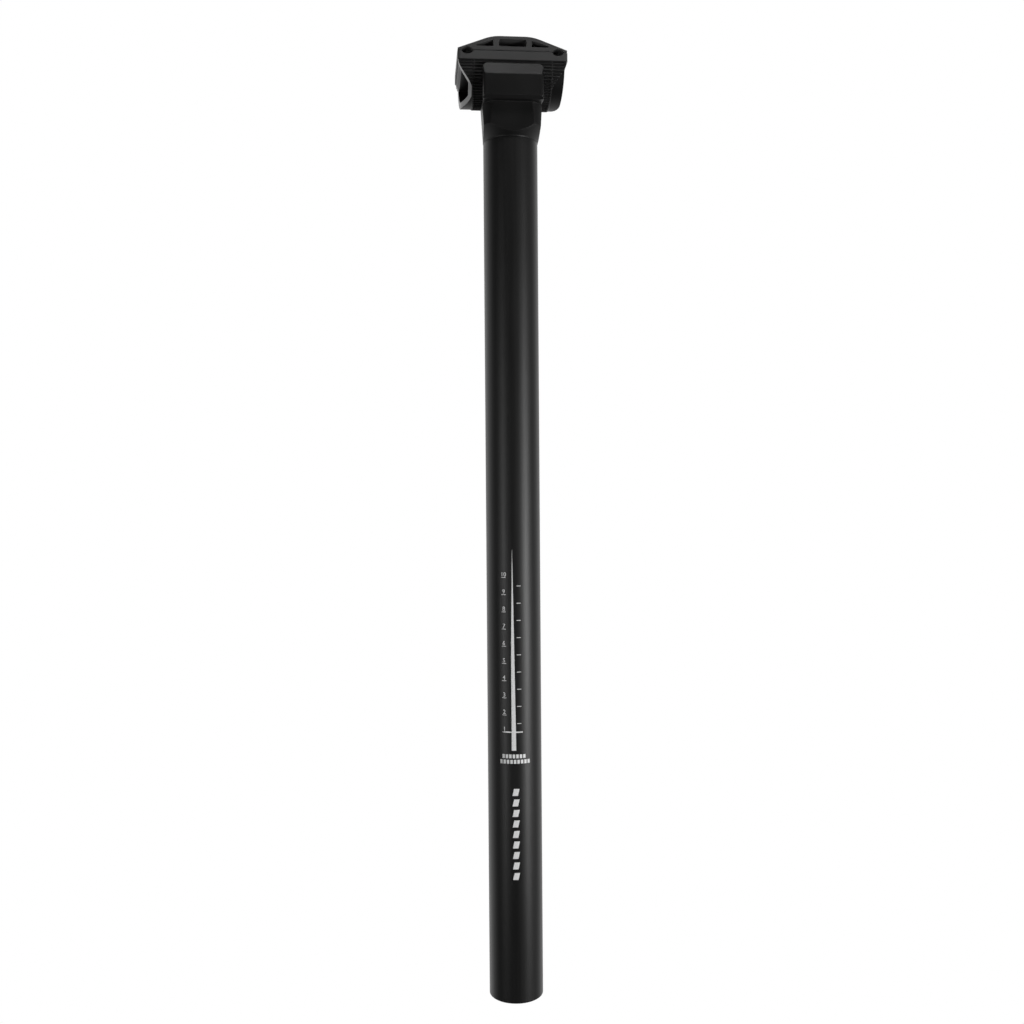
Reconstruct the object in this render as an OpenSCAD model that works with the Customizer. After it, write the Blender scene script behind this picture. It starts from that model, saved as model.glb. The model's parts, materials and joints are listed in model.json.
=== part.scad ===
// Bicycle seatpost with a serrated tilt head and a two-piece saddle rail clamp.
// Origin: centre of the post's open lower end. +Z runs up the post, the rails
// run along Y, and -Y is the rider's side, where the insertion scale is read.

/* [Post] */
// Height of the tube from its open lower end to the head's collar
tube_h = 429; // [300:1:480]
// Outside diameter of the tube, the size of the frame's seat tube
tube_d = 27.2; // [26.8:0.2:28.6]
// Wall thickness of the tube
tube_wall = 2.3; // [2.1:0.1:2.5]

/* [Head] */
// Length of the head's spigot inside the tube
spigot_h = 32; // [20:1:40]
// Radius of the neck at the collar's lower edge
collar_r = 13.8; // [13.8:0.1:14]
// Radius of the round neck behind its shoulders, under the cradle block
neck_r = 13.9; // [13.9:0.1:14.2]
// Reach of the neck's shoulders towards the rider, under the cradle block
neck_near = 16.4; // [15.5:0.1:17]
// Height of the tilt axis above the top of the tube
pivot_rise = 35.6; // [35.5:0.1:37]
// Width of the cradle block across the rails, on the rider's side
block_w = 29.6; // [29:0.1:30]
// Width of the cradle block on the far side
block_far_w = 24.4; // [24:0.1:29]
// Depth of the cradle block along the rails
block_l = 41.6; // [41:0.1:44]
// Length of the bolt slot through the cradle wall
slot_l = 17; // [16:0.5:18]

/* [Serrations] */
// Number of serrations in a full turn, on the cradle and on the barrel
tooth_count = 76; // [60:2:90]
// Depth of one serration
tooth_depth = 0.55; // [0.3:0.05:0.6]
// Radius of the barrel over its serrations
barrel_r = 17.8; // [17.7:0.05:17.8]
// Gap between the crests of the barrel and of the cradle
barrel_gap = 0.15; // [0.1:0.05:0.2]

/* [Saddle clamp] */
// Distance between the middles of the two saddle rails
rail_pitch = 44.2; // [43:0.2:45]
// Diameter of a saddle rail
rail_d = 7; // [6.8:0.1:7.2]
// Width of the lower clamp's flange across the rails
flange_w = 53.8; // [53.6:0.2:56]
// Length of the clamps along the rails
clamp_l = 36; // [34:0.5:37]
// Thickness of the lower clamp's flange
flange_t = 4; // [3.5:0.1:5]
// Gap between the two clamps
clamp_gap = 0.6; // [0.4:0.1:1]
// Height of the upper clamp's arch above its flat underside
arch_h = 6.9; // [6.5:0.1:7.5]

/* [Clamp bolt] */
// Diameter of the bolt's shank
bolt_d = 7.9; // [7.8:0.05:7.9]
// Diameter of the bolt's head
bolt_head_d = 13; // [12:0.1:13.4]
// Height of the bolt's head
bolt_head_h = 5; // [4.5:0.1:5]
// Width of the square nut across its flats
nut_w = 11; // [10:0.1:11]

/* [Hidden] */
$fn = 96;
// Height that lets a cutter run out past the face that it cuts
past = 1;

// Heights of the main joints between the pieces
pivot_z = tube_h + pivot_rise;
flange_z = pivot_z;
rail_z = flange_z + flange_t;
upper_z = rail_z + clamp_gap;

// Post and head
tube_r = tube_d / 2;
bore_r = tube_r - tube_wall;
spigot_r = bore_r - 0.05;
head_bore_r = 9.2;
cradle_r = barrel_r + barrel_gap;
cradle_root_r = cradle_r + tooth_depth;
cradle_back_r = cradle_root_r + 3.5;
chamber_r = 12.2;
chamber_z = tube_h + 2;
block_z = pivot_z - cradle_back_r + 2.6;
rear_ear_z = pivot_z - 2.3;
front_ear_z = pivot_z - 4;
ear_tip_y = block_l / 2 - 1.4;
ear_bevel_h = 5.6;
slot_w = bolt_d + 0.9;
slot_rear_share = 0.6;

// Barrel of the lower clamp. Each end has a short half, cut back to a rim, and a
// long half, which runs out to the flange's edge.
rib_root_r = barrel_r - tooth_depth;
rim_r = barrel_r - 0.15;
long_r = barrel_r - 0.35;
short_x = 19.1;
rim_x = 21.3;
rim_bevel = 1.9;
long_x = 24.7;
long_draft = 0.8;
flare_w = 7.3;
flare_h = 14.5;
turn_from = -5;
turn_to = 13;
pocket_r = 14.2;
pocket_x = 8.5;
pocket_roof = 4.4;

// Rail grooves and the upper clamp's arch
groove_depth = 1.8;
groove_roof = 1.5;
rail_r = rail_d / 2;
arch_l = clamp_l - 2;
arch_flat = 6;
arch_blend_r = 22;
arch_slope = 20;
window_depth = 7.5;
window_z = 2;
window_top = 1.4;
window_half = 6.75;
strut_t = 2.65;

// Bolt and washers
hole_r = 4.3;
seat_r = 8;
seat_z = upper_z + 2;
washer_t = 1.2;
lock_t = 1.8;
head_z = seat_z + washer_t + lock_t;
saddle_w = 12;
saddle_l = 11;
saddle_z = pivot_z - cradle_back_r - 2.3;
saddle_gap = 0.1;
nut_t = 5.5;
nut_r = bolt_d / 2 + 0.05;
shank_z = saddle_z - nut_t - 2.5;

// Serrated circle: crest and root radii in turn
function serrated(crest, root) =
    [for (i = [0 : 2 * tooth_count - 1])
        let (a = 180 * i / tooth_count, r = i % 2 == 0 ? crest : root)
            [r * cos(a), r * sin(a)]];

// Right half of the arch's top line: flat crown, round shoulder, straight ramp
function arch_side(half) =
    let (crown = arch_h, step = arch_slope / 5)
        concat(
            [for (i = [0 : 5])
                [arch_flat + arch_blend_r * sin(step * i),
                 crown - arch_blend_r * (1 - cos(step * i))]],
            [[half, ramp(half)]]);

// Height of the arch's straight ramp at a distance from the middle
function ramp(x) =
    arch_h - arch_blend_r * (1 - cos(arch_slope))
    - (x - arch_flat - arch_blend_r * sin(arch_slope)) * tan(arch_slope);

// Points of an arc in the plane
function arc(centre, r, from, to) =
    let (steps = 6)
        [for (i = [0 : steps])
            let (a = from + (to - from) * i / steps)
                centre + r * [cos(a), sin(a)]];

// The points of an outline's right half, mirrored to the left in reverse order
function mirrored(points) =
    [for (i = [len(points) - 1 : -1 : 0]) [-points[i][0], points[i][1]]];

// Stands a YZ outline up and extrudes it along X, centred
module along_x(w) {
    rotate([90, 0, 90])
        translate([0, 0, -w / 2])
            linear_extrude(w)
                children();
}

// Stands an XZ outline up and extrudes it along Y, centred
module along_y(l) {
    rotate([90, 0, 0])
        translate([0, 0, -l / 2])
            linear_extrude(l)
                children();
}

// Rectangle centred on the origin with round corners
module round_rect(w, l, r) {
    square([w - 2 * r, l], center = true);
    square([w, l - 2 * r], center = true);
    for (x = [-1, 1], y = [-1, 1])
        translate([x * (w / 2 - r), y * (l / 2 - r)])
            circle(r);
}

// Straight slot with round ends, along Y
module slot(w, rear, front, z, h) {
    for (y = [rear + w / 2, front - w / 2])
        translate([0, y, z])
            cylinder(d = w, h = h);
    translate([-w / 2, rear + w / 2, z])
        cube([w, front - rear - w, h]);
}

module post_tube() {
    edge = 0.5;
    color([0.07, 0.07, 0.08])
        rotate_extrude()
            polygon([
                [bore_r + edge, 0], [tube_r - edge, 0], [tube_r, edge],
                [tube_r, tube_h], [bore_r, tube_h], [bore_r, edge]
            ]);
}

// Spigot, collar and round neck, with the nut's chamber still solid
module neck_shell() {
    lip = 0.4;
    rotate_extrude()
        polygon([
            [head_bore_r, tube_h - spigot_h],
            [spigot_r - 1, tube_h - spigot_h],
            [spigot_r, tube_h - spigot_h + 1],
            [spigot_r, tube_h],
            [collar_r - lip, tube_h],
            [collar_r, tube_h + lip],
            [neck_r, block_z + 0.3],
            [head_bore_r, block_z + 0.3]
        ]);
}

// Square shoulders on the neck's near half: they leave the collar in a short cone
// and spread to the width of the block
module neck_shoulders() {
    low = tube_h + 0.6;
    top = block_z + 0.3;
    cone_h = 5;
    spread_r = 19;
    corner_r = 5.5;
    near_low = 1 - neck_near;
    intersection() {
        rotate_extrude()
            polygon([
                [head_bore_r, low], [collar_r, low],
                [spread_r, low + cone_h], [spread_r, top], [head_bore_r, top]
            ]);
        along_x(block_w)
            polygon([[near_low, low], [-neck_near, top], [0, top], [0, low]]);
        along_y(2 * neck_near)
            polygon([
                [-collar_r, low], [collar_r, low],
                [block_w / 2, top], [-block_w / 2, top]
            ]);
        translate([0, 0, low])
            linear_extrude(top - low)
                round_rect(block_w, 2 * neck_near, corner_r);
    }
}

// Plan of the cradle block: it narrows to the far side, and its corners are round
module block_plan(r) {
    half = block_l / 2;
    near = block_w / 2 - r;
    far = block_far_w / 2 - r;
    side = concat(
        arc([near, r - half], r, -90, 0),
        arc([far, half - r], r, 0, 90)
    );
    polygon(concat(side, mirrored(side)));
}

// Block under the cradle: a side outline cut to a round-cornered front and plan
module cradle_block() {
    half = block_l / 2;
    top_r = 2.4;
    corner_r = 1.6;
    base = block_z;
    intersection() {
        along_x(block_w)
            polygon([
                [-half + 1.5, base], [-half, base + 1.5],
                [-half, rear_ear_z - ear_bevel_h], [-ear_tip_y, rear_ear_z],
                [ear_tip_y, front_ear_z],
                [half, front_ear_z - ear_bevel_h],
                [half, base + 1.5], [half - 1.5, base]
            ]);
        translate([0, 0, rear_ear_z - 20])
            along_y(block_l + 2)
                round_rect(block_w, 40, top_r);
        translate([0, 0, base - past])
            linear_extrude(40)
                block_plan(corner_r);
    }
}

module head_forging() {
    color([0.09, 0.09, 0.10])
        difference() {
            union() {
                neck_shell();
                neck_shoulders();
                cradle_block();
            }
            translate([0, 0, pivot_z])
                along_x(block_w + 2)
                    polygon(serrated(cradle_root_r, cradle_r));
            difference() {
                translate([0, 0, chamber_z])
                    cylinder(r = chamber_r, h = cradle_back_r);
                translate([0, 0, pivot_z])
                    along_x(block_w + 2)
                        circle(cradle_back_r);
            }
            slot(slot_w, -slot_l * slot_rear_share, slot_l * (1 - slot_rear_share),
                 chamber_z, cradle_back_r);
        }
}

// Cutter for the two rail grooves: its lowest or highest line is depth from z
module rail_grooves(z, depth, up) {
    centre = up ? z + depth - rail_r : z - depth + rail_r;
    for (side = [-1, 1])
        translate([side * rail_pitch / 2, 0, centre])
            along_y(clamp_l + 2)
                circle(rail_r);
}

// Half turn of a barrel below the flange, which it enters a little way
module half_barrel() {
    translate([0, 0, pivot_z])
        along_x(flange_w)
            intersection() {
                children();
                translate([-barrel_r, -barrel_r])
                    square([2 * barrel_r, barrel_r + 0.2]);
            }
}

// Front outline of the barrel's ribs: they flare out into the flange
module barrel_front() {
    steps = 10;
    half = concat(
        [for (i = [0 : steps])
            [short_x + flare_w * (1 + cos(180 * i / steps)) / 2, -flare_h * i / steps]],
        [[short_x, -barrel_r - past]]
    );
    polygon(concat([[short_x + flare_w, past]], half,
                   mirrored(concat([[short_x + flare_w, past]], half))));
}

// Plan of the smooth long half of one end, which turns back to the short half
module long_half() {
    steps = 10;
    near = barrel_r + past;
    from_x = short_x - 0.2;
    polygon(concat(
        [[from_x, -near], [long_x + long_draft, -near]],
        [for (i = [0 : steps])
            [short_x + (long_x - short_x) * (1 + cos(180 * i / steps)) / 2,
             turn_from + (turn_to - turn_from) * i / steps]],
        [[from_x, turn_to]]
    ));
}

// Bevelled smooth rim round the short half of one end
module end_rim() {
    inner_r = pocket_r - 1;
    intersection() {
        translate([0, 0, pivot_z])
            rotate([0, 90, 0])
                rotate_extrude()
                    polygon([
                        [inner_r, short_x - 0.4], [rim_r, short_x - 0.4],
                        [rim_r, short_x + 0.3], [rim_r - rim_bevel, rim_x],
                        [inner_r, rim_x]
                    ]);
        translate([0, -barrel_r, pivot_z - barrel_r])
            cube([flange_w / 2, 2 * barrel_r, barrel_r + 0.2]);
    }
}

// Side outline of an end pocket: a half disc with a flat roof
module pocket_side() {
    intersection() {
        circle(pocket_r);
        translate([-pocket_r, -pocket_r])
            square([2 * pocket_r, pocket_r - pocket_roof]);
    }
}

module lower_clamp() {
    color([0.10, 0.10, 0.11])
        difference() {
            union() {
                translate([0, 0, flange_z])
                    linear_extrude(flange_t)
                        round_rect(flange_w, clamp_l, 1.5);
                intersection() {
                    half_barrel()
                        polygon(serrated(barrel_r, rib_root_r));
                    translate([0, 0, pivot_z])
                        along_y(clamp_l)
                            barrel_front();
                }
                for (end = [0, 180])
                    rotate([0, 0, end]) {
                        end_rim();
                        intersection() {
                            half_barrel()
                                circle(long_r);
                            translate([0, 0, pivot_z - barrel_r - past])
                                linear_extrude(barrel_r + 2 * past)
                                    long_half();
                        }
                    }
            }
            for (end = [0, 180])
                rotate([0, 0, end])
                    translate([pocket_x + flange_w / 2, 0, pivot_z])
                        along_x(flange_w)
                            pocket_side();
            translate([0, 0, pivot_z - barrel_r - past])
                cylinder(r = hole_r, h = barrel_r + flange_t + 2 * past);
            rail_grooves(rail_z, groove_depth, false);
        }
}

// Front outline of the upper clamp
module arch_front() {
    half = flange_w / 2 - 0.2;
    side = concat([[half, 0]], [for (i = [6 : -1 : 0]) arch_side(half)[i]]);
    polygon(concat(side, mirrored(side)));
}

// Front outline of the three windows in each face of the upper clamp
module arch_windows() {
    top = arch_h - window_top;
    inner = window_half + strut_t;
    outer = inner + 8.1;
    translate([0, (window_z + top) / 2])
        round_rect(2 * window_half, top - window_z, 0.8);
    for (side = [0, 1])
        mirror([side, 0])
            polygon([
                [inner, window_z],
                [outer, window_z],
                [outer, window_z + 0.6],
                [inner + 3, top - 1.3],
                [inner, top - 0.5]
            ]);
}

module upper_clamp() {
    color([0.10, 0.10, 0.11])
        difference() {
            translate([0, 0, upper_z])
                along_y(arch_l)
                    arch_front();
            for (side = [-1, 1])
                translate([0, side * (arch_l / 2 - window_depth / 2 + past / 2), upper_z])
                    along_y(window_depth + past)
                        arch_windows();
            rail_grooves(upper_z, groove_roof, true);
            translate([0, 0, upper_z - past])
                cylinder(r = hole_r, h = arch_h);
            translate([0, 0, seat_z])
                cylinder(r = seat_r, h = arch_h);
        }
}

module clamp_bolt() {
    edge = 0.5;
    head_r = bolt_head_d / 2;
    shank_r = bolt_d / 2;
    color([0.20, 0.20, 0.21])
        difference() {
            rotate_extrude()
                polygon([
                    [0, shank_z], [shank_r - edge, shank_z], [shank_r, shank_z + edge],
                    [shank_r, head_z], [head_r, head_z],
                    [head_r, head_z + bolt_head_h - edge],
                    [head_r - edge, head_z + bolt_head_h], [0, head_z + bolt_head_h]
                ]);
            translate([0, 0, head_z + bolt_head_h - 3])
                cylinder(d = 6 / cos(30), h = 3 + past, $fn = 6);
        }
}

// Split spring washer under the bolt's head
module lock_washer() {
    color([0.45, 0.45, 0.46])
        translate([0, 0, head_z - lock_t])
            difference() {
                cylinder(r = 6.6, h = lock_t);
                translate([0, 0, -past])
                    cylinder(r = 4.1, h = lock_t + 2 * past);
                rotate([0, 0, 35])
                    translate([3, -0.4, -past])
                        cube([5, 0.8, lock_t + 2 * past]);
            }
}

module flat_washer() {
    color([0.40, 0.40, 0.41])
        translate([0, 0, seat_z])
            difference() {
                cylinder(r = 7.6, h = washer_t);
                translate([0, 0, -past])
                    cylinder(r = 4.2, h = washer_t + 2 * past);
            }
}

// Block between the nut and the round underside of the cradle
module saddle_washer() {
    color([0.42, 0.42, 0.43])
        difference() {
            translate([-saddle_w / 2, -saddle_l / 2, saddle_z])
                cube([saddle_w, saddle_l, 4]);
            translate([0, 0, pivot_z])
                along_x(saddle_w + 2)
                    circle(cradle_back_r + saddle_gap);
            translate([0, 0, saddle_z - past])
                cylinder(r = 4.2, h = 6);
        }
}

module clamp_nut() {
    color([0.42, 0.42, 0.43])
        translate([0, 0, saddle_z - nut_t])
            difference() {
                linear_extrude(nut_t)
                    round_rect(nut_w, nut_w, 0.8);
                translate([0, 0, -past])
                    cylinder(r = nut_r, h = nut_t + 2 * past);
            }
}

post_tube();
head_forging();
lower_clamp();
upper_clamp();
clamp_bolt();
lock_washer();
flat_washer();
saddle_washer();
clamp_nut();
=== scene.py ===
# Looks for the seatpost: camera, studio, materials, drawn tube, printed scale and clamp bolt

import json
import math

import bpy
from mathutils import Matrix, Vector


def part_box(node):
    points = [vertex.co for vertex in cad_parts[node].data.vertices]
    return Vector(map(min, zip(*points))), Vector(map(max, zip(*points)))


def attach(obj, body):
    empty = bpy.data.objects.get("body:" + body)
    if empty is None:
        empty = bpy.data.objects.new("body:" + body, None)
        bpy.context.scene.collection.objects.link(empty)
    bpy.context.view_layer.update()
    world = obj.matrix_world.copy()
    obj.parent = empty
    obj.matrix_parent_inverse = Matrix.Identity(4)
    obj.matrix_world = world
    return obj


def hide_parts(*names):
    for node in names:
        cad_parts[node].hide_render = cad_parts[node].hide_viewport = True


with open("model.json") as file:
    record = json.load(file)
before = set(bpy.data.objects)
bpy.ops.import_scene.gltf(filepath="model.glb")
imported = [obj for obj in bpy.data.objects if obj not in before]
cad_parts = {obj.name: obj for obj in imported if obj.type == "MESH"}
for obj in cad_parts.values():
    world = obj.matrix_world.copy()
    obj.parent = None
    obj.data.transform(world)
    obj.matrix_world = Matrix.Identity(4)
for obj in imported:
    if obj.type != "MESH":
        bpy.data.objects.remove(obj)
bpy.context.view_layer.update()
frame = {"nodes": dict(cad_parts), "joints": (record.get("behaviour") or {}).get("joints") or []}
nodes = frame["nodes"]
scene = bpy.context.scene

MM = 0.001
TUBE_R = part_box("post_tube")[1].x
FLANGE_LOW_Z = next(j for j in frame["joints"] if j["name"] == "clamp_tilt")["pos_m"][2]
BOLT_LOW, BOLT_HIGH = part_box("clamp_bolt")

# Camera: a little to the left of the post, level with its middle
CAMERA_DISTANCE = 0.5472
CAMERA_HEIGHT = 0.2550
CAMERA_AZIMUTH = math.radians(-5.11)
CAMERA_PITCH = math.radians(-1.09)
CAMERA_ROLL = math.radians(-0.420)
CAMERA_LENS = 38.05
CAMERA_SHIFT = -0.0009
SENSOR = 36.0

# Insertion scale printed on the rider's side, in millimetres: heights are above the
# tube's lower end, and places across it run along the tube's skin from its middle
SCALE_TOP = 212.5
SCALE_STEP = 8.53
SCALE_COUNT = 10
DIGIT_ACROSS = -6.3
DIGIT_H = 2.05
UNDERLINE_W = 2.2
TICK_TOP = 208.3
TICK_FROM, TICK_TO = 0.2, 2.3
LINE_T = 0.32
WEDGE_TIP = 226.3
WEDGE_FULL = 175.3
WEDGE_LOW = 126.6
LIMIT_LINE = 135.8
LIMIT_LINE_T = 0.6
LIMIT_BARS = ((-6.5, -2.6), (-0.6, 3.0))
PRINT_LIFT = 0.03

# Digits of the scale: their outline's growth, their height in the font's own units, and
# their rise over the underline
DIGIT_GROW = 0.03
DIGIT_CAP = 0.69
DIGIT_RISE = 0.55

# Blank blocks under the scale, in millimetres: each row is its left end, its count of
# blocks and its lower edge
BLOCK_ROWS = ((-7.5, 7, 122.8), (-8.7, 9, 120.1))
BLOCK_PITCH = 1.76
BLOCK_W = 1.25
BLOCK_H = 1.95

# Slanted dashes below the blocks, in millimetres
DASH_COUNT = 9
DASH_TOP = 107.6
DASH_PITCH = 5.24
DASH_H = 3.5
DASH_SLANT = 0.8
DASH_LEFT, DASH_RIGHT = -2.45, 0.3

# Tube, in millimetres: its wall and the rounding of its lower edges
TUBE_WALL = 2.3
TUBE_EDGE = 0.5

# End faces of the lower clamp's barrel, where a painted highlight goes: their reach from the
# tilt axis, the reach of the pocket inside them, and where they begin across the rails
RIM_R = 17.2 * MM
POCKET_R = 14.25 * MM
RIM_X = 19.3 * MM

# Clamp bolt, in millimetres
SHANK_R = 3.95
HEAD_H = 5.0
SOCKET_FLATS = 6.0
SOCKET_DEEP = 3.0
THREAD_L = 24.0
THREAD_PITCH = 1.25
THREAD_DEEP = 0.6
HEAD_EDGE = 0.45
RING_COUNT = 72

# World: how far it turns from dark before the post to bright behind it
FADE_FROM, FADE_TO = -0.12, 0.75
FADE_BRIGHT = 1.15

# Floor, in metres
FLOOR_HALF = 4.0
FLOOR_Z = -0.45


# ---------------------------------------------------------------- camera and stage

def add_camera():
    data = bpy.data.cameras.new("camera")
    data.lens = CAMERA_LENS
    data.shift_x = CAMERA_SHIFT
    data.sensor_width = SENSOR
    data.clip_start = 0.01
    camera = bpy.data.objects.new("camera", data)
    scene.collection.objects.link(camera)
    place = Vector((
        CAMERA_DISTANCE * math.sin(CAMERA_AZIMUTH),
        -CAMERA_DISTANCE * math.cos(CAMERA_AZIMUTH),
        CAMERA_HEIGHT,
    ))
    camera.matrix_world = (
        Matrix.Translation(place)
        @ Matrix.Rotation(CAMERA_AZIMUTH, 4, "Z")
        @ Matrix.Rotation(math.pi / 2 + CAMERA_PITCH, 4, "X")
        @ Matrix.Rotation(CAMERA_ROLL, 4, "Z")
    )
    scene.camera = camera


def add_softbox(name, azimuth, distance, height, aim_z, size, power):
    """An area light that stands at an azimuth from the rider's side and aims at the post."""
    data = bpy.data.lights.new(name, "AREA")
    data.shape = "ELLIPSE"
    data.size, data.size_y = size
    data.energy = power
    light = bpy.data.objects.new(name, data)
    scene.collection.objects.link(light)
    turn = math.radians(azimuth)
    place = Vector((distance * math.sin(turn), -distance * math.cos(turn), height))
    aim = Vector((0, 0, aim_z)) - place
    turned = aim.to_track_quat("-Z", "Y").to_matrix().to_4x4()
    light.matrix_world = Matrix.Translation(place) @ turned


def add_world():
    """White to the eye; for light and reflections, bright behind the post and dark before it."""
    world = bpy.data.worlds.new("studio")
    world.use_nodes = True
    tree = world.node_tree
    tree.nodes.clear()
    new, link = tree.nodes.new, tree.links.new
    out = new("ShaderNodeOutputWorld")
    mix = new("ShaderNodeMixShader")
    path = new("ShaderNodeLightPath")
    white = new("ShaderNodeBackground")
    white.inputs["Color"].default_value = (1, 1, 1, 1)
    sweep = new("ShaderNodeBackground")
    sweep.inputs["Color"].default_value = (1, 1, 1, 1)
    coords = new("ShaderNodeTexCoord")
    split = new("ShaderNodeSeparateXYZ")
    fade = new("ShaderNodeMapRange")
    fade.interpolation_type = "SMOOTHSTEP"
    fade.inputs["From Min"].default_value = FADE_FROM
    fade.inputs["From Max"].default_value = FADE_TO
    fade.inputs["To Min"].default_value = 0.0
    fade.inputs["To Max"].default_value = FADE_BRIGHT
    link(coords.outputs["Generated"], split.inputs["Vector"])
    link(split.outputs["Y"], fade.inputs["Value"])
    link(fade.outputs["Result"], sweep.inputs["Strength"])
    link(path.outputs["Is Camera Ray"], mix.inputs["Fac"])
    link(sweep.outputs[0], mix.inputs[1])
    link(white.outputs[0], mix.inputs[2])
    link(mix.outputs[0], out.inputs["Surface"])
    scene.world = world


def add_studio():
    scene.view_settings.view_transform = "Standard"
    scene.view_settings.look = "None"
    add_world()
    add_softbox("key_right", 50, 0.80, 0.12, 0.17, (0.26, 0.58), 5.0)
    add_softbox("fill_left", -46, 0.80, 0.12, 0.17, (0.26, 0.58), 1.6)
    add_softbox("top", 4, 0.45, 1.12, 0.46, (0.4, 0.18), 1.7)


# ---------------------------------------------------------------- materials

class Surface:
    """A node material under construction, with object coordinates in metres."""

    def __init__(self, name, roughness, metallic=0.0, specular=0.5):
        self.mat = bpy.data.materials.new(name)
        self.mat.use_nodes = True
        self.tree = self.mat.node_tree
        self.bsdf = self.tree.nodes["Principled BSDF"]
        self.bsdf.inputs["Metallic"].default_value = metallic
        self.bsdf.inputs["Specular IOR Level"].default_value = specular
        self.bsdf.inputs["Roughness"].default_value = roughness
        self.coords = self.new("ShaderNodeTexCoord").outputs["Object"]

    def new(self, kind):
        return self.tree.nodes.new(kind)

    def link(self, a, b):
        self.tree.links.new(a, b)

    def stretched(self, scale):
        mapping = self.new("ShaderNodeMapping")
        mapping.inputs["Scale"].default_value = scale
        self.link(self.coords, mapping.inputs["Vector"])
        return mapping.outputs["Vector"]

    def noise(self, scale, detail=3, vector=None):
        node = self.new("ShaderNodeTexNoise")
        node.inputs["Scale"].default_value = scale
        node.inputs["Detail"].default_value = detail
        self.link(vector or self.coords, node.inputs["Vector"])
        return node.outputs["Fac"]

    def remap(self, value, low, high, to_low, to_high):
        node = self.new("ShaderNodeMapRange")
        node.inputs["From Min"].default_value = low
        node.inputs["From Max"].default_value = high
        node.inputs["To Min"].default_value = to_low
        node.inputs["To Max"].default_value = to_high
        self.link(value, node.inputs["Value"])
        return node.outputs["Result"]

    def blend(self, factor, a, b):
        """Mixes two colours, each a grey number or the output of another mix."""
        node = self.new("ShaderNodeMix")
        node.data_type = "RGBA"
        self.link(factor, node.inputs["Factor"])
        color_a, color_b, color_out = node.inputs[6], node.inputs[7], node.outputs[2]
        for socket, tone in ((color_a, a), (color_b, b)):
            if isinstance(tone, float):
                socket.default_value = (tone, tone, tone, 1)
            else:
                self.link(tone, socket)
        return color_out

    def bump(self, height, distance, strength=1.0, normal=None):
        node = self.new("ShaderNodeBump")
        node.inputs["Distance"].default_value = distance
        node.inputs["Strength"].default_value = strength
        self.link(height, node.inputs["Height"])
        if normal:
            self.link(normal, node.inputs["Normal"])
        return node.outputs["Normal"]

    def edges(self, radius):
        """A normal rounded over the edges, and a mask that is 1 on them."""
        bevel = self.new("ShaderNodeBevel")
        bevel.samples = 6
        bevel.inputs["Radius"].default_value = radius
        geometry = self.new("ShaderNodeNewGeometry")
        dot = self.new("ShaderNodeVectorMath")
        dot.operation = "DOT_PRODUCT"
        self.link(bevel.outputs["Normal"], dot.inputs[0])
        self.link(geometry.outputs["Normal"], dot.inputs[1])
        return bevel.outputs["Normal"], self.remap(dot.outputs["Value"], 0.98, 0.75, 0.0, 1.0)

    def step(self, value, edge, above=True):
        """1 where a value is above an edge, or below it, and 0 elsewhere."""
        return self.math("GREATER_THAN" if above else "LESS_THAN", value, edge)

    def math(self, operation, a, b=None):
        """One sum over outputs, or over an output and a plain number."""
        node = self.new("ShaderNodeMath")
        node.operation = operation
        self.link(a, node.inputs[0])
        if isinstance(b, float):
            node.inputs[1].default_value = b
        elif b is not None:
            self.link(b, node.inputs[1])
        return node.outputs[0]

    def painted_rim_highlight_mask(self, split):
        """1 on the barrel's two end faces, where a painted highlight stands in for light from
        the left.
        """
        across = self.math("ABSOLUTE", split.outputs["X"])
        drop = self.math("SUBTRACT", split.outputs["Z"], FLANGE_LOW_Z)
        depth = self.math("MULTIPLY", split.outputs["Y"], split.outputs["Y"])
        fall = self.math("MULTIPLY", drop, drop)
        reach = self.math("SQRT", self.math("ADD", depth, fall))
        inside = self.step(reach, RIM_R, above=False)
        ring = self.math("MULTIPLY", inside, self.step(reach, POCKET_R))
        return self.math("MULTIPLY", ring, self.step(across, RIM_X))

    def finish(self, color, roughness, normal):
        self.link(color, self.bsdf.inputs["Base Color"])
        self.link(roughness, self.bsdf.inputs["Roughness"])
        self.link(normal, self.bsdf.inputs["Normal"])
        return self.mat


def tube_finish():
    """Satin black anodising over drawn tube: fine grain, faint lengthwise draw lines."""
    s = Surface("tube_anodised", 0.42, specular=0.42)
    grain = s.noise(3200)
    lines = s.noise(900, 2, s.stretched((1, 1, 0.015)))
    cloud = s.noise(35)
    color = s.blend(cloud, 0.0065, 0.0105)
    rough = s.remap(lines, 0.3, 0.7, 0.40, 0.46)
    normal = s.bump(grain, 0.006 * MM, 0.5, s.bump(lines, 0.004 * MM, 0.4))
    return s.finish(color, rough, normal)


def head_finish():
    """Forged head, fine blasted and dyed black, rubbed a little along its edges."""
    s = Surface("head_blasted", 0.45, specular=0.4)
    rounded, worn = s.edges(0.5 * MM)
    grain = s.noise(2600, 4)
    cloud = s.noise(55)
    color = s.blend(worn, s.blend(cloud, 0.003, 0.006), 0.028)
    rough = s.remap(cloud, 0.3, 0.7, 0.42, 0.49)
    return s.finish(color, rough, s.bump(grain, 0.02 * MM, 0.6, rounded))


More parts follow.
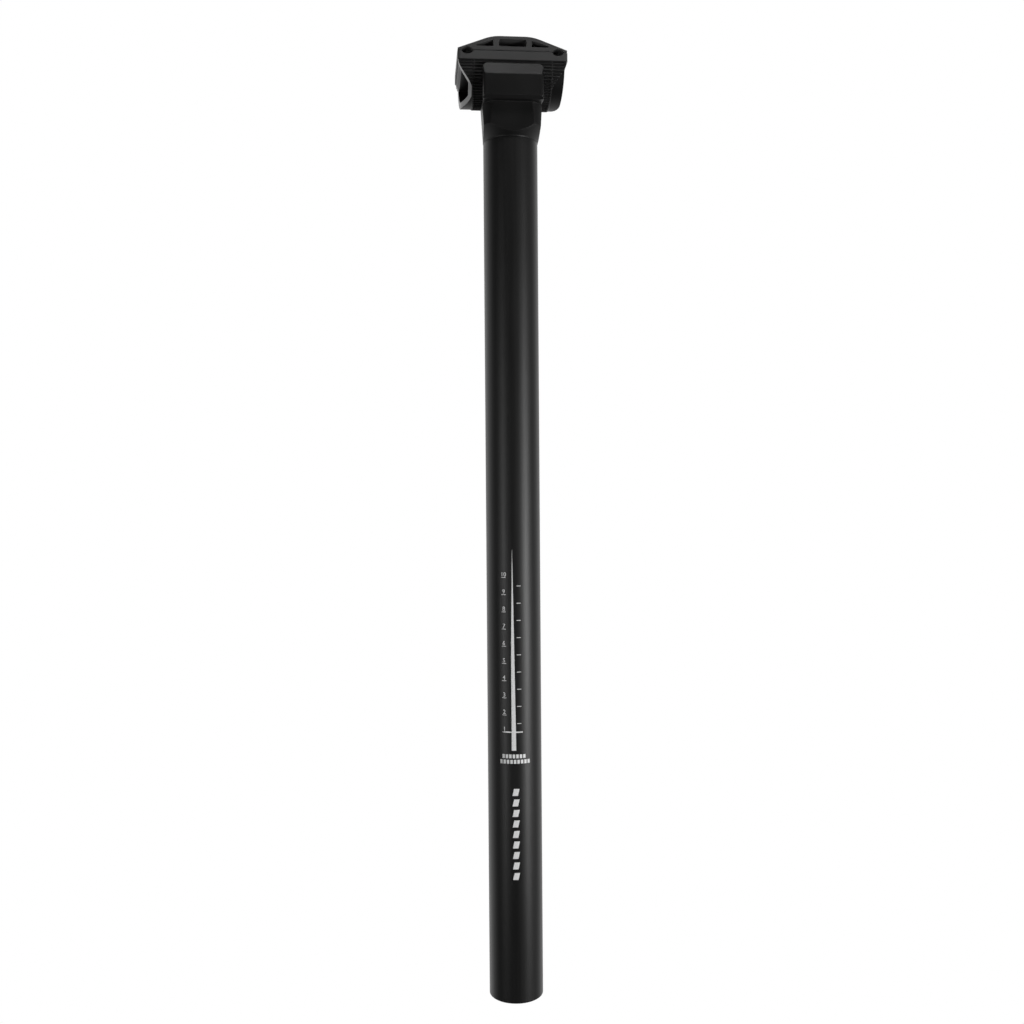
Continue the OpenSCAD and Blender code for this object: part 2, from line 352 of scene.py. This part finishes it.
def clamp_finish():
    """Clamps: machined flange and arch a tone lighter than the blasted barrel under them, partly
    a lighter finish and partly painted light from above; a painted highlight on the barrel's end
    faces.
    """
    s = Surface("clamp_satin", 0.5, specular=0.2)
    rounded, worn = s.edges(0.35 * MM)
    grain = s.noise(2600, 4)
    cloud = s.noise(70)
    split = s.new("ShaderNodeSeparateXYZ")
    s.link(s.coords, split.inputs["Vector"])
    soft = 0.2 * MM
    above = s.remap(split.outputs["Z"], FLANGE_LOW_Z - soft, FLANGE_LOW_Z + soft, 0.0, 1.0)
    barrel = s.blend(cloud, 0.004, 0.007)
    # Lighter tone above the flange line: partly the flange's own lighter finish, partly painted
    # light standing in for light from above on its faces
    flange = s.blend(cloud, 0.061, 0.073)
    # Painted highlight: the barrel's end faces are painted pale grey in place of the light from
    # the left that catches them
    barrel_and_rim_highlight = s.blend(s.painted_rim_highlight_mask(split), barrel, 0.34)
    color = s.blend(worn, s.blend(above, barrel_and_rim_highlight, flange), 0.085)
    rough = s.remap(cloud, 0.3, 0.7, 0.46, 0.54)
    return s.finish(color, rough, s.bump(grain, 0.015 * MM, 0.5, rounded))


def bolt_finish():
    """Black oxide on turned steel: oily, uneven, bare along the socket's edge."""
    s = Surface("bolt_oxide", 0.36, metallic=1.0)
    rounded, worn = s.edges(0.25 * MM)
    grain = s.noise(2200, 4)
    cloud = s.noise(300)
    color = s.blend(worn, s.blend(cloud, 0.035, 0.06), 0.22)
    rough = s.remap(cloud, 0.3, 0.7, 0.3, 0.44)
    return s.finish(color, rough, s.bump(grain, 0.008 * MM, 0.5, rounded))


def zinc_finish():
    """Zinc-plated steel with a faint crystal mottle and fine turning marks."""
    s = Surface("zinc_plate", 0.34, metallic=1.0)
    rounded, worn = s.edges(0.2 * MM)
    cell = s.new("ShaderNodeTexVoronoi")
    cell.inputs["Scale"].default_value = 900
    s.link(s.coords, cell.inputs["Vector"])
    mottle = cell.outputs["Distance"]
    color = s.blend(worn, s.blend(mottle, 0.42, 0.55), 0.68)
    rough = s.remap(mottle, 0.0, 0.8, 0.28, 0.42)
    return s.finish(color, rough, s.bump(s.noise(1800, 4), 0.006 * MM, 0.5, rounded))


def print_finish():
    """Pad-printed pale grey ink, slightly thin and speckled."""
    s = Surface("print_ink", 0.6, specular=0.3)
    speckle = s.noise(2500, 4)
    color = s.blend(s.remap(speckle, 0.35, 0.65, 0.0, 1.0), 0.76, 0.92)
    rough = s.remap(speckle, 0.3, 0.7, 0.55, 0.7)
    return s.finish(color, rough, s.bump(speckle, 0.01 * MM, 0.4))


def dress(mat, *names):
    for name in names:
        for slot in nodes[name].material_slots:
            slot.material = mat


# ---------------------------------------------------------------- pieces

def add_mesh(name, verts, faces, mat, smooth=False):
    mesh = bpy.data.meshes.new(name)
    mesh.from_pydata(verts, [], faces)
    mesh.validate()
    mesh.materials.append(mat)
    for face in mesh.polygons:
        face.use_smooth = smooth
    obj = bpy.data.objects.new(name, mesh)
    scene.collection.objects.link(obj)
    return obj


def on_tube(across, height):
    """The point on the tube's skin at a distance round from the rider's side and a height."""
    radius = TUBE_R + PRINT_LIFT * MM
    turn = across * MM / TUBE_R
    return (radius * math.sin(turn), -radius * math.cos(turn), height * MM)


def strip(verts, faces, outline_low, outline_high, parts):
    """Adds a band of quads between two outline edges, each ((across, height), ...) pair."""
    first = len(verts)
    for i in range(parts + 1):
        t = i / parts
        for a, b in (outline_low, outline_high):
            verts.append(on_tube(a[0] + (b[0] - a[0]) * t, a[1] + (b[1] - a[1]) * t))
    for i in range(parts):
        k = first + 2 * i
        faces.append((k, k + 2, k + 3, k + 1))


def bar(verts, faces, left, right, low, high, slant=0.0):
    """A bar that follows the tube's skin; slant moves its top edge along."""
    longest = 0.5
    parts = max(1, round(abs(right - left) / longest))
    strip(
        verts, faces,
        ((left, low), (right, low)),
        ((left + slant, high), (right + slant, high)),
        parts,
    )


def add_print(name, build, mat):
    verts, faces = [], []
    build(verts, faces)
    piece = add_mesh(name, verts, faces, mat)
    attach(piece, "post")


def scale_lines(verts, faces):
    for i in range(SCALE_COUNT):
        z = SCALE_TOP - i * SCALE_STEP
        bar(verts, faces, DIGIT_ACROSS - UNDERLINE_W / 2, DIGIT_ACROSS + UNDERLINE_W / 2,
            z - LINE_T / 2, z + LINE_T / 2)
    for i in range(SCALE_COUNT - 1):
        z = TICK_TOP - i * SCALE_STEP
        bar(verts, faces, TICK_FROM, TICK_TO, z - LINE_T / 2, z + LINE_T / 2)


def wedge(verts, faces):
    """Plain tapered pointer, then a straight stem."""
    tip, tip_half = -1.85, 0.05
    full_left, full_right, low_right = -2.65, -1.05, -0.4
    full = ((full_left, WEDGE_FULL), (full_right, WEDGE_FULL))
    strip(verts, faces, full, ((tip - tip_half, WEDGE_TIP), (tip + tip_half, WEDGE_TIP)), 4)
    strip(verts, faces, ((full_left, WEDGE_LOW), (low_right, WEDGE_LOW)), full, 4)


def limit_marks(verts, faces):
    """The lowest line of the scale, and two rows of blank blocks under the pointer."""
    half = LIMIT_LINE_T / 2
    for left, right in LIMIT_BARS:
        bar(verts, faces, left, right, LIMIT_LINE - half, LIMIT_LINE + half)
    for row_left, count, low in BLOCK_ROWS:
        for i in range(count):
            left = row_left + i * BLOCK_PITCH
            bar(verts, faces, left, left + BLOCK_W, low, low + BLOCK_H)


def flash_marks(verts, faces):
    """A column of plain slanted dashes below the scale."""
    for i in range(DASH_COUNT):
        high = DASH_TOP - i * DASH_PITCH
        bar(verts, faces, DASH_LEFT, DASH_RIGHT, high - DASH_H, high, DASH_SLANT)


def add_digits(mat):
    """The scale's numbers, from ten at the top to one."""
    verts, faces = [], []
    for i in range(SCALE_COUNT):
        curve = bpy.data.curves.new("digit", "FONT")
        curve.body = str(SCALE_COUNT - i)
        curve.align_x = "CENTER"
        curve.size = DIGIT_H / DIGIT_CAP
        curve.offset = DIGIT_GROW
        curve.resolution_u = 4
        holder = bpy.data.objects.new("digit", curve)
        scene.collection.objects.link(holder)
        mesh = bpy.data.meshes.new_from_object(holder)
        first = len(verts)
        base = SCALE_TOP - i * SCALE_STEP + DIGIT_RISE
        verts.extend(on_tube(DIGIT_ACROSS + v.co.x, base + v.co.y) for v in mesh.vertices)
        faces.extend(tuple(first + k for k in face.vertices) for face in mesh.polygons)
        bpy.data.objects.remove(holder)
        bpy.data.curves.remove(curve)
        bpy.data.meshes.remove(mesh)
    piece = add_mesh("scale_numbers", verts, faces, mat)
    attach(piece, "post")


def circle_ring(radius, z, count=RING_COUNT):
    turns = [2 * math.pi * i / count for i in range(count)]
    return [(radius * math.cos(turn), radius * math.sin(turn), z) for turn in turns]


def hexagon_ring(flats, z):
    """A hexagon's outline with as many points as a circle ring."""
    ring = []
    for i in range(RING_COUNT):
        turn = 2 * math.pi * i / RING_COUNT
        off = (turn % (math.pi / 3)) - math.pi / 6
        radius = flats / 2 / math.cos(off)
        ring.append((radius * math.cos(turn), radius * math.sin(turn), z))
    return ring


def thread_ring(z, low):
    """A ring whose radius follows a screw thread that fades out at both ends."""
    ring = []
    crest = 1.25
    fade = min(1.0, (z - low) / THREAD_PITCH, (low + THREAD_L - z) / THREAD_PITCH)
    for i in range(RING_COUNT):
        part = i / RING_COUNT
        turn = 2 * math.pi * part
        phase = ((z - low) / THREAD_PITCH - part) % 1.0
        groove = THREAD_DEEP * max(0.0, 1 - abs(2 * phase - 1) * crest) * max(0.0, fade)
        radius = SHANK_R - groove
        ring.append((radius * math.cos(turn), radius * math.sin(turn), z))
    return ring


def loft(rings):
    """Verts and faces of a skin through rings of equal length, closed at both ends."""
    count = len(rings[0])
    verts = [tuple(c * MM for c in point) for ring in rings for point in ring]
    last = (len(rings) - 1) * count
    faces = []
    for low in range(0, last, count):
        high = low + count
        for i in range(count):
            j = (i + 1) % count
            faces.append((low + i, low + j, high + j, high + i))
    faces.append(tuple(reversed(range(count))))
    faces.append(tuple(last + i for i in range(count)))
    return verts, faces


def add_bolt(mat):
    """Socket-head clamp bolt with a real thread."""
    low = BOLT_LOW.z / MM
    high = BOLT_HIGH.z / MM
    head_r = BOLT_HIGH.x / MM
    under = high - HEAD_H
    edge = HEAD_EDGE
    steps_per_pitch = 10
    steps = round(THREAD_L / THREAD_PITCH * steps_per_pitch)
    thread_low = low + edge
    rings = [circle_ring(SHANK_R - edge - 0.2, low)]
    for i in range(steps + 1):
        rings.append(thread_ring(thread_low + THREAD_L * i / steps, thread_low))
    rings += [circle_ring(SHANK_R, z) for z in (thread_low + THREAD_L + 1, under - 0.05)]
    rings += [
        circle_ring(head_r - 0.25, under),
        circle_ring(head_r, under + 0.25),
        circle_ring(head_r, high - edge - 0.3),
        circle_ring(head_r - 0.12, high - edge + 0.05),
        circle_ring(head_r - edge, high),
        circle_ring(SOCKET_FLATS / 2 + 0.95, high),
        circle_ring(SOCKET_FLATS / 2 + 0.55, high - 0.1),
        hexagon_ring(SOCKET_FLATS, high - 0.45),
        hexagon_ring(SOCKET_FLATS, high - SOCKET_DEEP),
        circle_ring(SOCKET_FLATS / 4, high - SOCKET_DEEP - 0.3),
    ]
    verts, faces = loft(rings)
    bolt = add_mesh("socket_bolt", verts, faces, mat)
    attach(bolt, "bolt")
    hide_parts("clamp_bolt")


def lathe(profile, count=160):
    """Verts and faces of a solid ring: a closed outline of (radius, height) turned once."""
    points = [point for r, z in profile for point in circle_ring(r, z, count)]
    verts = [tuple(c * MM for c in point) for point in points]
    faces = []
    for r in range(len(profile)):
        low, high = r * count, (r + 1) % len(profile) * count
        for i in range(count):
            j = (i + 1) % count
            faces.append((low + i, low + j, high + j, high + i))
    return verts, faces


def rounded_edge(radius, towards):
    """Points round the tube's lower edge; towards is 1 outside and -1 inside."""
    parts = 4
    points = []
    for i in range(parts + 1):
        turn = math.pi / 2 * i / parts
        inset = towards * TUBE_EDGE * (1 - math.sin(turn))
        points.append((radius - inset, TUBE_EDGE * (1 - math.cos(turn))))
    return points


def add_tube(mat):
    """The post's tube, turned finer than its CAD solid, with rounded lower edges."""
    outside = TUBE_R / MM
    inside = outside - TUBE_WALL
    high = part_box("post_tube")[1].z / MM
    hold = 0.1
    profile = rounded_edge(outside, 1)
    profile += [(outside, TUBE_EDGE + hold), (outside, high - hold), (outside, high)]
    profile += [(inside, high), (inside, high - hold), (inside, TUBE_EDGE + hold)]
    profile += reversed(rounded_edge(inside, -1))
    verts, faces = lathe(profile)
    tube = add_mesh("drawn_tube", verts, faces, mat, smooth=True)
    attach(tube, "post")
    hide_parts("post_tube")


def add_floor():
    """Plain white floor, well below the post; it neither lights the post nor shows in it."""
    mat = bpy.data.materials.new("floor_white")
    mat.use_nodes = True
    tree = mat.node_tree
    tree.nodes.clear()
    out = tree.nodes.new("ShaderNodeOutputMaterial")
    glow = tree.nodes.new("ShaderNodeEmission")
    glow.inputs["Strength"].default_value = 1.0
    tree.links.new(glow.outputs[0], out.inputs["Surface"])
    sides = ((-1, -1), (1, -1), (1, 1), (-1, 1))
    corners = [(x * FLOOR_HALF, y * FLOOR_HALF, FLOOR_Z) for x, y in sides]
    floor = add_mesh("floor", corners, [(0, 1, 2, 3)], mat)
    floor.visible_diffuse = False
    floor.visible_glossy = False
    floor.visible_shadow = False


add_camera()
add_studio()
add_floor()

add_tube(tube_finish())
dress(head_finish(), "head_forging")
dress(clamp_finish(), "lower_clamp", "upper_clamp")
dress(zinc_finish(), "lock_washer", "flat_washer", "saddle_washer", "clamp_nut")
add_bolt(bolt_finish())

ink = print_finish()
add_print("scale_ticks", scale_lines, ink)
add_print("scale_pointer", wedge, ink)
add_print("limit_marks", limit_marks, ink)
add_print("flash_marks", flash_marks, ink)
add_digits(ink)
